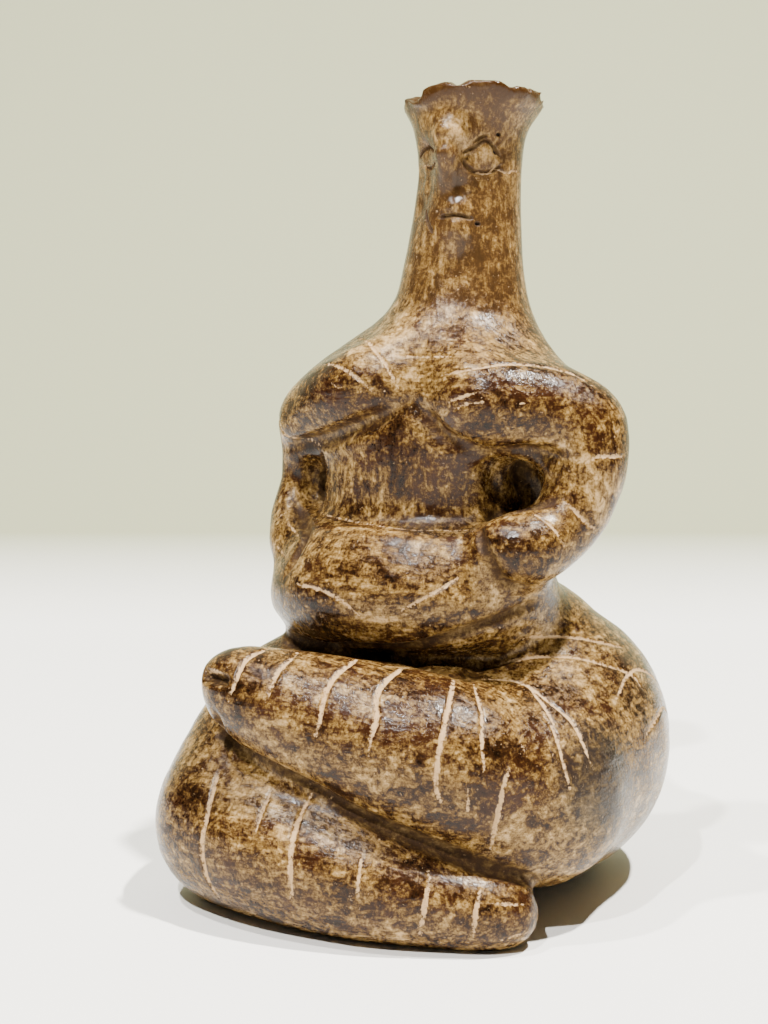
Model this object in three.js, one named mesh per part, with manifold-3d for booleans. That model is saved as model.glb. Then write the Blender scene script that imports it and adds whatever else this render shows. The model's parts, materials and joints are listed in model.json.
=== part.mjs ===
// A hollow vessel of burnished clay in the form of a seated figure: the lower legs folded
// across the front, hands on the hips, and a tall neck with a face that opens in a flared mouth.
// Millimetres, +Z up. The figure faces -Y, its left side is at +X, and it stands on z = 0.
import * as THREE from "three";
import { triTable } from "three/addons/objects/MarchingCubes.js";
import { mergeVertices } from "three/addons/utils/BufferGeometryUtils.js";
import Module from "manifold-3d";

const wasm = await Module();
wasm.setup();

// Driving sizes
const height = 145; // ground to the top of the mouth
const wall = 5; // clay round the hollow of the seat and the trunk
const neckWall = 3.8; // clay round the bore of the neck
const mouthLip = 3; // thickness of the flared lip
const outerCell = 1.6; // grid that the outside is read on
const hollowCell = 3; // grid that the hollow is read on
const outerFaces = 7600; // triangles kept on the outside
const hollowFaces = 1700; // triangles kept on the hollow

// The figure is drawn below in units of its own, and grows with its height.
// A section is [z, x, y, half width, half depth]. The last one is the mouth.
const sections = [
  [50, -5.5, -5, 22, 13], [62, -6, -6, 19.5, 12], [74, -5.6, -6.5, 19, 12], [82, -4.4, -6.5, 19.6, 12],
  [88, -3, -5.5, 22, 12.5], [94, -2.5, -3, 22.6, 13], [98, -2.6, -1, 19.8, 13], [103, -2.4, 1, 15, 12.8],
  [107.3, -1.8, 2, 12.4, 11.8], [113.5, -1.4, 2.5, 11.2, 11], [123, -1, 2.9, 10.1, 10],
  [132.4, -0.5, 3.1, 9.6, 9.6], [137, -0.4, 3.1, 10.1, 10.1], [139.5, -0.2, 3.2, 11, 11],
  [142, 0, 3.4, 12.9, 12.9], [145, 0.2, 3.6, 14, 14],
];
const firstNeckSection = 7;
const mouth = sections.at(-1);
const grow = height / mouth[0];
const overMouth = 15; // how far the bore runs on above the mouth

// Widths of the soft seams between parts
const skinSeam = 2.4; // the face on the head
const foldSeam = 3; // legs and arms against the body
const softSeam = 4;
const fleshSeam = 6;

// Distance to a ball with its own radius along each axis.
function ball([x, y, z], [rx, ry, rz]) {
  return (p) => {
    const near = Math.hypot((p.x - x) / rx, (p.y - y) / ry, (p.z - z) / rz);
    const slope = Math.hypot((p.x - x) / rx ** 2, (p.y - y) / ry ** 2, (p.z - z) / rz ** 2);
    return slope > 0 ? (near * (near - 1)) / slope : -Math.min(rx, ry, rz);
  };
}

// Distance to a limb that follows stations of [x, y, z, radius] on one smooth line.
function limb(stations, steps = 5) {
  const line = new THREE.CatmullRomCurve3(stations.map(([x, y, z]) => new THREE.Vector3(x, y, z)));
  const count = (stations.length - 1) * steps;
  const spots = [];
  for (let i = 0; i <= count; i++) {
    const at = (i / count) * (stations.length - 1);
    const k = Math.min(Math.floor(at), stations.length - 2);
    const radius = THREE.MathUtils.lerp(stations[k][3], stations[k + 1][3], at - k);
    spots.push({ at: line.getPoint(i / count), radius });
  }
  const along = new THREE.Vector3();
  const from = new THREE.Vector3();
  return (p) => {
    let best = Infinity;
    for (let i = 0; i < count; i++) {
      const a = spots[i];
      const b = spots[i + 1];
      along.subVectors(b.at, a.at);
      from.subVectors(p, a.at);
      const t = THREE.MathUtils.clamp(from.dot(along) / along.lengthSq(), 0, 1);
      const d = from.addScaledVector(along, -t).length() - THREE.MathUtils.lerp(a.radius, b.radius, t);
      best = Math.min(best, d);
    }
    return best;
  };
}

// Joins two distances with a soft seam of the given width.
function soften(a, b, seam) {
  const h = Math.max(seam - Math.abs(a - b), 0) / seam;
  return Math.min(a, b) - (h * h * seam) / 4;
}

// Joins shapes with one soft seam.
function join(seam, ...shapes) {
  return (p) => shapes.reduce((d, shape) => soften(d, shape(p), seam), Infinity);
}

// Distance to a stack of upright oval sections, each [z, x, y, half width, half depth].
function stack(sections) {
  const tangents = sections.map((_, i) => {
    const before = sections[Math.max(i - 1, 0)];
    const after = sections[Math.min(i + 1, sections.length - 1)];
    return before.map((value, c) => (after[c] - value) / (after[0] - before[0]));
  });
  const middle = (sections[0][0] + sections.at(-1)[0]) / 2;
  const half = Math.abs(sections.at(-1)[0] - sections[0][0]) / 2;
  return (p) => {
    const z = THREE.MathUtils.clamp(p.z, middle - half, middle + half);
    let i = 0;
    while (i < sections.length - 2 && z > sections[i + 1][0]) i++;
    const rise = sections[i + 1][0] - sections[i][0];
    const t = (z - sections[i][0]) / rise;
    const [, cx, cy, rx, ry] = sections[i].map((value, c) => {
      const a = 2 * t ** 3 - 3 * t ** 2 + 1;
      const b = t ** 3 - 2 * t ** 2 + t;
      const d = t ** 3 - t ** 2;
      const bend = rise * (b * tangents[i][c] + d * tangents[i + 1][c]);
      return a * value + (1 - a) * sections[i + 1][c] + bend;
    });
    const near = Math.hypot((p.x - cx) / rx, (p.y - cy) / ry);
    const slope = Math.hypot((p.x - cx) / rx ** 2, (p.y - cy) / ry ** 2);
    const side = slope > 0 ? (near * (near - 1)) / slope : -Math.min(rx, ry);
    const end = Math.abs(p.z - middle) - half;
    return end > 0 ? Math.hypot(Math.max(side, 0), end) : Math.max(side, end);
  };
}

// Seat: two haunches, the thighs that run out to the knees, and the flat underside between them
const leftHaunch = join(fleshSeam,
  ball([12.5, 9, 25.4], [23.5, 27, 26]),
  limb([[15, 0, 26, 22], [19, -14, 23, 18]]),
);
const rightHaunch = join(fleshSeam,
  ball([-14, 9, 25.2], [23.5, 27, 26]),
  limb([[-15, 0, 29, 20], [-25, -14, 27, 18.5], [-30, -26, 17, 16], [-29.4, -31.5, 14, 14.4]]),
);
const underside = ball([-3, 2, 5.5], [20, 20, 7.5]);
// The hips that slope from the waist down to the haunches, and the lap between belly and legs
const flanks = join(fleshSeam, ball([8, 2, 49.5], [14, 14, 8]), ball([-16, 3, 49], [12, 12, 7]));
const lap = limb([[-23, -25, 36, 6], [-8, -25, 36.5, 7], [8, -19, 35.5, 8]]);
const belly = stack([
  [44.5, -7, -8, 17, 11.5], [47, -7, -8.6, 23.6, 16.8], [51, -6.8, -9, 27, 19.8], [56, -6.2, -9.3, 27.2, 20.3],
  [62, -5.6, -8.8, 25.2, 18.8], [67, -5.2, -8.2, 22.4, 16.2],
]);

// Legs folded across the front: the right one on the ground, the left one over it
const lowerShin = limb([
  [-29.4, -31.5, 13.6, 14.4], [-22, -35, 13, 13.6], [-12, -37, 11.6, 12.3], [-1, -37, 9.8, 10.6],
  [10.5, -35.3, 7.6, 8.2], [19, -32.7, 6.2, 6.9], [22, -30.8, 5.4, 6],
]);
const upperShin = limb([
  [-26.4, -37.6, 40.6, 6], [-23.7, -36.5, 39, 8.2], [-14.6, -34.5, 36, 10.7], [-3.6, -32, 33, 12.6],
  [4.4, -30, 31, 13.6], [12, -26, 28, 14.6], [16.7, -20.6, 24, 15.1],
]);

// Trunk and neck with the head in one piece, drawn on past the mouth for the cut
const trunk = stack([...sections, mouth.map((value, c) => value + [3, 0, 0, 0.6, 0.6][c])]);
const back = stack([
  [34, -3, 4, 15, 12], [48, -4, 2, 17, 12], [62, -4, 0, 16.5, 11], [75, -4, 0.5, 17, 11], [88, -3, 1, 19.5, 12],
  [98, -2, 2, 16, 11.5], [108, -1.5, 2.5, 9, 9],
]);
const brow = ball([-0.4, -3.4, 137.8], [6.4, 5.6, 3.4]);
const nose = limb([[-0.3, -5.2, 137.4, 3], [0, -7.6, 132, 2.5], [0.3, -7, 128, 2.3], [0.4, -5.6, 125.4, 2]]);
const lips = ball([0.2, -5, 121.6], [4.8, 3.4, 2.6]);
const chin = ball([0.3, -5.2, 118], [4.4, 3.4, 2.2]);

// Breasts and shoulders are one thick roll on each side that runs out to the elbow
const leftArm = join(foldSeam,
  limb([[6.5, -1, 97.4, 6.2], [14.6, -3, 90.4, 7.7], [21.7, -5, 85.2, 7.8]]),
  limb([
    [4, -8, 94.5, 8.5], [10.5, -12.5, 88.8, 9], [18, -8, 87.4, 9], [24.4, -5, 84.6, 8], [25.6, -6, 79, 7],
  ]),
  limb([
    [24.4, -4, 84, 7.6], [26, -6, 77, 6.8], [25.4, -8, 71.5, 6.4], [22.6, -11.5, 66.6, 6.2],
    [19, -16.5, 64.4, 7], [16.5, -18, 64.2, 6.2],
  ]),
);
const rightArm = join(foldSeam,
  limb([[-9, 0, 99.5, 6.5], [-19, -3, 92.5, 8], [-26, -5, 85.5, 8]]),
  limb([[-6, -8, 95, 8.2], [-13, -11.5, 91, 8.6], [-21, -9, 88, 8.6], [-27, -7, 84.8, 7.6]]),
  limb([[-26, -3, 85, 8], [-30, -5, 79, 5.2], [-31, -6, 73, 4.4], [-31, -8, 67, 5.4], [-29, -11, 63, 6]]),
);
// The clay that closes the pocket between each arm and the trunk from behind
const webs = join(foldSeam, ball([19.5, 0.6, 76], [8, 3.4, 12]), ball([-26, 0.6, 75], [7, 3.4, 12]));

// A shape drawn in the figure's own units, at its real size.
function grown(shape) {
  const q = new THREE.Vector3();
  return (p) => shape(q.copy(p).divideScalar(grow)) * grow;
}

const outside = (() => {
  const seat = join(fleshSeam, leftHaunch, rightHaunch, underside, flanks);
  const head = join(skinSeam, trunk, brow, nose, lips, chin);
  const body = join(softSeam, seat, back, head, webs, belly);
  const legs = join(foldSeam, lowerShin, upperShin, lap);
  return grown(join(foldSeam, body, legs, join(softSeam, leftArm, rightArm)));
})();

// The hollow keeps its wall inside each part and runs up the neck to the mouth.
const hollow = (() => {
  const inside = (shape) => (p) => grown(shape)(p) + wall;
  const drawn = [...sections, mouth.with(0, mouth[0] + overMouth)].slice(firstNeckSection);
  const bore = stack(drawn.map(([z, x, y, rx, ry]) => {
    const clay = (z < mouth[0] ? neckWall : mouthLip) / grow;
    return [z, x, y, rx - clay, ry - clay];
  }));
  const parts = [leftHaunch, rightHaunch, belly, back, trunk].map(inside);
  return join(fleshSeam, ...parts, grown(bore));
})();

// Reads a shape on a grid and returns its surface as points and faces that share corners.
// A block that lies well away from the surface takes the distance at its middle.
function surfaceOf(shape, { min, max }, cell) {
  const block = 4;
  const nearest = 0.02; // least share of an edge between a point and a corner of the grid
  const blocks = max.clone().sub(min).divideScalar(cell * block).ceil();
  const [nx, ny, nz] = blocks.multiplyScalar(block).toArray();
  const index = (i, j, k) => i + nx * (j + ny * k);
  const corner = (i, j, k) => new THREE.Vector3(min.x + i * cell, min.y + j * cell, min.z + k * cell);
  const field = new Float64Array(nx * ny * nz);
  const middle = (block - 1) / 2;
  const farAway = block * cell * Math.sqrt(3);
  for (let k = 0; k < nz; k += block)
    for (let j = 0; j < ny; j += block)
      for (let i = 0; i < nx; i += block) {
        const rough = shape(corner(i + middle, j + middle, k + middle));
        for (let c = 0; c < block ** 3; c++) {
          const a = i + (c % block);
          const b = j + (Math.floor(c / block) % block);
          const d = k + Math.floor(c / block ** 2);
          field[index(a, b, d)] = Math.abs(rough) > farAway ? rough : shape(corner(a, b, d));
        }
      }
  const square = [[0, 0], [1, 0], [1, 1], [0, 1]];
  const corners = [0, 1].flatMap((level) => square.map(([a, b]) => [a, b, level]));
  const flat = [[0, 1], [1, 2], [3, 2], [0, 3]];
  const edges = [...flat, ...flat.map(([a, b]) => [a + 4, b + 4]), ...flat.map((_, c) => [c, c + 4])];
  const points = [];
  const faces = [];
  const seen = new Map();
  const pointOn = (i, j, k, edge) => {
    const [a, b] = edges[edge].map((c) => corners[c]);
    const ia = index(i + a[0], j + a[1], k + a[2]);
    const ib = index(i + b[0], j + b[1], k + b[2]);
    const key = ia * 8 + (b[0] - a[0]) + 2 * (b[1] - a[1]) + 4 * (b[2] - a[2]);
    if (!seen.has(key)) {
      const share = THREE.MathUtils.clamp(field[ia] / (field[ia] - field[ib]), nearest, 1 - nearest);
      seen.set(key, points.length);
      points.push(corner(i + a[0], j + a[1], k + a[2]).lerp(corner(i + b[0], j + b[1], k + b[2]), share));
    }
    return seen.get(key);
  };
  for (let k = 0; k < nz - 1; k++)
    for (let j = 0; j < ny - 1; j++)
      for (let i = 0; i < nx - 1; i++) {
        let kind = 0;
        corners.forEach(([a, b, c], bit) => {
          if (field[index(i + a, j + b, k + c)] < 0) kind |= 1 << bit;
        });
        for (let t = kind * 16; triTable[t] >= 0; t += 3)
          faces.push([2, 1, 0].map((n) => pointOn(i, j, k, triTable[t + n])));
      }
  return { points, faces };
}

// Takes the grid's steps out of a surface by moving each point towards the middle of its neighbours.
function relaxed({ points, faces }, rounds) {
  let now = points;
  for (let round = 0; round < rounds; round++) {
    const sums = now.map(() => new THREE.Vector3());
    const counts = now.map(() => 0);
    for (const face of faces)
      for (const [n, v] of face.entries()) {
        sums[v].add(now[face[(n + 1) % 3]]).add(now[face[(n + 2) % 3]]);
        counts[v] += 2;
      }
    now = now.map((point, v) => sums[v].divideScalar(counts[v]).lerp(point, 0.5));
  }
  return { points: now, faces };
}

// The squared distance to a set of planes, kept as the ten numbers of a symmetric matrix.
class Planes {
  constructor() {
    this.m = new Float64Array(10);
  }
  addPlane(n, d, weight) {
    const v = [n.x, n.y, n.z, d];
    let i = 0;
    for (let r = 0; r < 4; r++) for (let c = r; c < 4; c++) this.m[i++] += v[r] * v[c] * weight;
  }
  sum(other) {
    const both = new Planes();
    both.m.set(this.m.map((x, i) => x + other.m[i]));
    return both;
  }
  at({ x, y, z }) {
    const m = this.m;
    return m[0] * x * x + 2 * m[1] * x * y + 2 * m[2] * x * z + 2 * m[3] * x + m[4] * y * y
      + 2 * m[5] * y * z + 2 * m[6] * y + m[7] * z * z + 2 * m[8] * z + m[9];
  }
  lowest(fallback) {
    const m = this.m;
    const a = new THREE.Matrix3(m[0], m[1], m[2], m[1], m[4], m[5], m[2], m[5], m[7]);
    const size = (m[0] + m[4] + m[7]) ** 3;
    if (Math.abs(a.determinant()) < 1e-5 * size) return fallback;
    return new THREE.Vector3(-m[3], -m[6], -m[8]).applyMatrix3(a.invert());
  }
}

// A heap that hands out the entry with the least cost.
class Queue {
  items = [];
  push(item) {
    const list = this.items;
    let i = list.push(item) - 1;
    while (i > 0) {
      const up = (i - 1) >> 1;
      if (list[up].cost <= list[i].cost) break;
      [list[up], list[i]] = [list[i], list[up]];
      i = up;
    }
  }
  pop() {
    const list = this.items;
    const top = list[0];
    const last = list.pop();
    if (list.length) {
      list[0] = last;
      let i = 0;
      for (;;) {
        let least = i;
        for (const child of [2 * i + 1, 2 * i + 2])
          if (child < list.length && list[child].cost < list[least].cost) least = child;
        if (least === i) break;
        [list[least], list[i]] = [list[i], list[least]];
        i = least;
      }
    }
    return top;
  }
}

// Closes up the edges that shape the surface least, until no more than `most` faces are left.
function thin({ points, faces }, most) {
  const evenness = 4e-4; // how much a long edge costs
  const leastTurn = 0.25; // cosine that a face may turn by
  const leastArea = 1e-3;
  const around = points.map(() => new Set());
  const planes = points.map(() => new Planes());
  const stamp = points.map(() => 0);
  const ab = new THREE.Vector3();
  const ac = new THREE.Vector3();
  const normalOf = (a, b, c) => {
    ab.subVectors(b, a);
    ac.subVectors(c, a);
    return new THREE.Vector3().crossVectors(ab, ac);
  };
  faces.forEach((face, f) => {
    const n = normalOf(...face.map((v) => points[v]));
    const area = n.length() / 2;
    if (area > 0) n.divideScalar(2 * area);
    const d = -n.dot(points[face[0]]);
    for (const v of face) {
      around[v].add(f);
      planes[v].addPlane(n, d, area);
    }
  });
  const queue = new Queue();
  const offer = (a, b) => {
    const both = planes[a].sum(planes[b]);
    const middle = points[a].clone().lerp(points[b], 0.5);
    const length = points[a].distanceTo(points[b]);
    let spot = both.lowest(middle);
    if (spot.distanceTo(middle) > length) spot = middle;
    const cost = Math.max(both.at(spot), 0) + evenness * length ** 4;
    queue.push({ cost, a, b, spot, stampA: stamp[a], stampB: stamp[b] });
  };
  const nextTo = (v) => {
    const found = new Set();
    for (const f of around[v]) for (const w of faces[f]) if (w !== v) found.add(w);
    return found;
  };
  const turnsOver = (v, gone, spot) => {
    for (const f of around[v]) {
      if (gone.has(f)) continue;
      const before = normalOf(...faces[f].map((w) => points[w]));
      const after = normalOf(...faces[f].map((w) => (w === v ? spot : points[w])));
      const agree = after.dot(before) / (after.length() * before.length());
      if (!(agree > leastTurn) || after.length() < leastArea) return true;
    }
    return false;
  };
  points.forEach((_, v) => {
    for (const w of nextTo(v)) if (v < w) offer(v, w);
  });
  let left = faces.length;
  while (left > most && queue.items.length) {
    const { a, b, spot, stampA, stampB } = queue.pop();
    if (stamp[a] !== stampA || stamp[b] !== stampB) continue;
    const gone = new Set([...around[a]].filter((f) => around[b].has(f)));
    const others = nextTo(b);
    const shared = [...nextTo(a)].filter((v) => others.has(v));
    if (gone.size !== 2 || shared.length !== 2) continue;
    if (turnsOver(a, gone, spot) || turnsOver(b, gone, spot)) continue;
    for (const f of gone) for (const v of faces[f]) around[v].delete(f);
    for (const f of around[b]) {
      faces[f] = faces[f].map((v) => (v === b ? a : v));
      around[a].add(f);
    }
    around[b].clear();
    points[a].copy(spot);
    planes[a] = planes[a].sum(planes[b]);
    left -= 2;
    stamp[b] = -1;
    stamp[a]++;
    for (const v of nextTo(a)) offer(Math.min(a, v), Math.max(a, v));
  }
  const kept = new Set(around.flatMap((set) => [...set]));
  return { points, faces: [...kept].map((f) => faces[f]) };
}

// A manifold solid of a surface.
function solidOf({ points, faces }) {
  const used = new Map();
  for (const face of faces) for (const v of face) if (!used.has(v)) used.set(v, used.size);
  const vertProperties = new Float32Array(used.size * 3);
  for (const [v, i] of used) vertProperties.set(points[v].toArray(), i * 3);
  const triVerts = new Uint32Array(faces.flat().map((v) => used.get(v)));
  return new wasm.Manifold(new wasm.Mesh({ numProp: 3, vertProperties, triVerts }));
}

// A manifold solid of one of the library's closed geometries.
function solidOfGeometry(geometry) {
  const plain = geometry.clone();
  plain.deleteAttribute("normal");
  plain.deleteAttribute("uv");
  const merged = mergeVertices(plain);
  return new wasm.Manifold(new wasm.Mesh({
    numProp: 3,
    vertProperties: new Float32Array(merged.attributes.position.array),
    triVerts: new Uint32Array(merged.index.array),
  }));
}

function geometryOf(solid) {
  const { numProp, vertProperties, triVerts } = solid.getMesh();
  const position = new Float32Array((vertProperties.length / numProp) * 3);
  for (let i = 0; i < position.length / 3; i++)
    for (let c = 0; c < 3; c++) position[3 * i + c] = vertProperties[numProp * i + c];
  return new THREE.BufferGeometry()
    .setAttribute("position", new THREE.BufferAttribute(position, 3))
    .setIndex(new THREE.BufferAttribute(triVerts, 1));
}

// The broken edge of the mouth: each chip by its angle from the front, its reach and its depth
const chips = [[-66, 42, 3], [-30, 14, 0.8], [112, 46, 2.4], [185, 30, 1.2], [238, 28, 2.2]];
function chipAt(angle) {
  return chips.reduce((sum, [at, reach, depth]) => {
    const off = Math.abs(THREE.MathUtils.euclideanModulo(angle - at + 180, 360) - 180);
    return off < reach ? sum + (depth * (1 + Math.cos((Math.PI * off) / reach))) / 2 : sum;
  }, 0);
}

// The space over the mouth, as a drum whose lower rim follows the chips.
function mouthCut() {
  const [z, x, y, lip] = mouth;
  const radius = lip + 2;
  const tall = 40;
  const drum = new THREE.CylinderGeometry(radius, radius, tall, 60, 1);
  drum.rotateX(Math.PI / 2).translate(0, 0, tall / 2);
  const spots = drum.attributes.position;
  for (let i = 0; i < spots.count; i++) {
    const onRim = Math.hypot(spots.getX(i), spots.getY(i)) > lip;
    const angle = THREE.MathUtils.radToDeg(Math.atan2(spots.getX(i), -spots.getY(i)));
    if (onRim && spots.getZ(i) < tall / 2) spots.setZ(i, -chipAt(angle));
  }
  return drum.translate(x, y, z).scale(grow, grow, grow);
}

// The room that the figure is read in, with space below the ground and above the mouth
const room = new THREE.Box3(new THREE.Vector3(-56, -56, -6), new THREE.Vector3(56, 48, mouth[0] + 20));
room.min.multiplyScalar(grow);
room.max.multiplyScalar(grow);
const slab = room.getSize(new THREE.Vector3()).x * 2;

const outer = solidOf(thin(relaxed(surfaceOf(outside, room, outerCell), 2), outerFaces));
const inner = solidOf(thin(relaxed(surfaceOf(hollow, room, hollowCell), 1), hollowFaces));
const ground = solidOfGeometry(new THREE.BoxGeometry(slab, slab, slab).translate(0, 0, -slab / 2));
const body = outer.subtract(inner).subtract(ground).subtract(solidOfGeometry(mouthCut()));

const clay = new THREE.MeshStandardMaterial({ color: 0x7a5a3c, roughness: 0.38, metalness: 0 });
const vessel = new THREE.Mesh(geometryOf(body), clay);
vessel.name = "vessel";

const part = new THREE.Group();
part.add(vessel);
export default part;
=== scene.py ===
import json
import math
import bpy
import numpy as np
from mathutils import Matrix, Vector, noise
from mathutils.bvhtree import BVHTree
from mathutils.kdtree import KDTree

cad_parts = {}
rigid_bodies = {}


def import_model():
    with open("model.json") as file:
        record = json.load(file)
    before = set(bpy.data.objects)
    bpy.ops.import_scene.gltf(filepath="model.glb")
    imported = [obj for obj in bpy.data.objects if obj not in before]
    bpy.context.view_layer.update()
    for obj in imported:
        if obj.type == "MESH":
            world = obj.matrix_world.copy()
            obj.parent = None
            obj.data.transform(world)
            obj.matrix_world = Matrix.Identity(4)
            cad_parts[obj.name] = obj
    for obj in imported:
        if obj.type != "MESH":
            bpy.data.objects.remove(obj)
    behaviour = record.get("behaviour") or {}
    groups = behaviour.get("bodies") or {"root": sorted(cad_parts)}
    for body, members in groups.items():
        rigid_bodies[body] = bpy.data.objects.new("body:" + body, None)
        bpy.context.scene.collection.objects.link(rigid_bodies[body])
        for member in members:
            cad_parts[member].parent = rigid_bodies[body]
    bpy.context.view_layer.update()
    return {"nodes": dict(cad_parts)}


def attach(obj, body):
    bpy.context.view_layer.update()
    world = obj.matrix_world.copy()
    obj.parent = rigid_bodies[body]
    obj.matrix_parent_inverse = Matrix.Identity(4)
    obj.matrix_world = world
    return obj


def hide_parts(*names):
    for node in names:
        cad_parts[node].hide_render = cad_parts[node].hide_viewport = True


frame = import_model()
mm = 0.001

# The figure faces -Y and its own left side is at +X. Lengths are in mm. Its lines are drawn on
# upright plates through the neck, each turned about it, and thrown onto the clay from the plate's eye.
figure = {
    "weld": 0.02,
    "cell": 0.8,
    "smoothing": 7,
    "cavityRounds": 60,
    "hollowShare": 0.05,
    "plates": {
        "front": {"turn": 28, "eye": (120.3, -257.7, 96.8)},
        "back": {"turn": 205, "eye": (-110, 260, 90)},
        "left": {"turn": 110, "eye": (270, 60, 80)},
        "right": {"turn": -70, "eye": (-270, -60, 80)},
    },
    "inBore": (-1.5, 2.5, 115),
    "lipBottom": 139,
    "lipTop": 145,
    "faceBottom": 116,
    "lineSpacing": 0.25,
    "thinHalf": 1,
    "refineReach": 1.5,
    "faceReach": 1.1,
    "limbSpacing": 1.5,
    "blend": 2.5,
    "seedSteps": (17.3, 5.1, 9.7),
    "unevenness": 0.3,
    "unevennessSize": 14,
    "flatHeights": (0.2, 2.5),
    "strokeHeight": 0.11,
    "strokeWidth": 3.2,
    "strokeStretch": 0.3,
    "chipSize": 2.4,
    "chipDepth": 1.8,
}

# Every kind of line: half width and depth in mm (a raised ridge has a minus), how full it is of
# pale clay, how much painted shade it lays in as an open crease, and over how many mm it tapers at its
# ends.
lineKinds = {
    "shinCrease": {"half": 1.7, "depth": 1.5, "fill": 0, "crease": 1, "taper": 6},
    "crease": {"half": 1.4, "depth": 1.1, "fill": 0, "crease": 0.9, "taper": 6},
    "softCrease": {"half": 2.4, "depth": 0.9, "fill": 0, "crease": 0.5, "taper": 9},
    "underFold": {"half": 2.6, "depth": 1.7, "fill": 0, "crease": 0.5, "taper": 7},
    "toeNotch": {"half": 1.3, "depth": 2.2, "fill": 0, "crease": 0.8, "taper": 0.5},
    "wideCut": {"half": 0.56, "depth": 0.5, "fill": 1, "crease": 0, "taper": 7},
    "cut": {"half": 0.38, "depth": 0.32, "fill": 0.95, "crease": 0, "taper": 5},
    "fineCut": {"half": 0.28, "depth": 0.15, "fill": 0.75, "crease": 0, "taper": 4},
    "crack": {"half": 0.24, "depth": 0.25, "fill": 1, "crease": 0, "taper": 1},
    "slit": {"half": 0.46, "depth": 0.7, "fill": 0, "crease": 1.3, "taper": 1.5},
    "lidCut": {"half": 0.42, "depth": 0.6, "fill": 0, "crease": 1.1, "taper": 1},
    "pit": {"half": 0.34, "depth": 0.7, "fill": 0, "crease": 2, "taper": 0},
    "armHole": {"half": 1.6, "depth": 0.8, "fill": 0, "crease": 1.1, "taper": 3},
    "armSlot": {"half": 0.8, "depth": 1.8, "fill": 0, "crease": 1.5, "taper": 4},
    "pocket": {"half": 4.2, "depth": 1.3, "fill": 0, "crease": 0.35, "taper": 4},
    "hollowCheek": {"half": 2.2, "depth": 0.5, "fill": 0, "crease": 0.2, "taper": 3},
    "ridge": {"half": 1.6, "depth": -0.45, "fill": 0, "crease": 0, "taper": 2},
    "lowRidge": {"half": 1.1, "depth": -0.3, "fill": 0, "crease": 0, "taper": 1.5},
}
# How a line ends and fades: what is left of its strength and width at an end, and where across it, in
# half widths, its depth, its fill and its painted crease shade begin to fade and are gone.
lineEdges = {
    "endStrength": 0.25,
    "endWidth": 0.6,
    "reach": 1.8,
    "depth": (0, 1.1),
    "fill": (0.5, 1.25),
    "crease": (0.2, 1.8),
}

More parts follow.
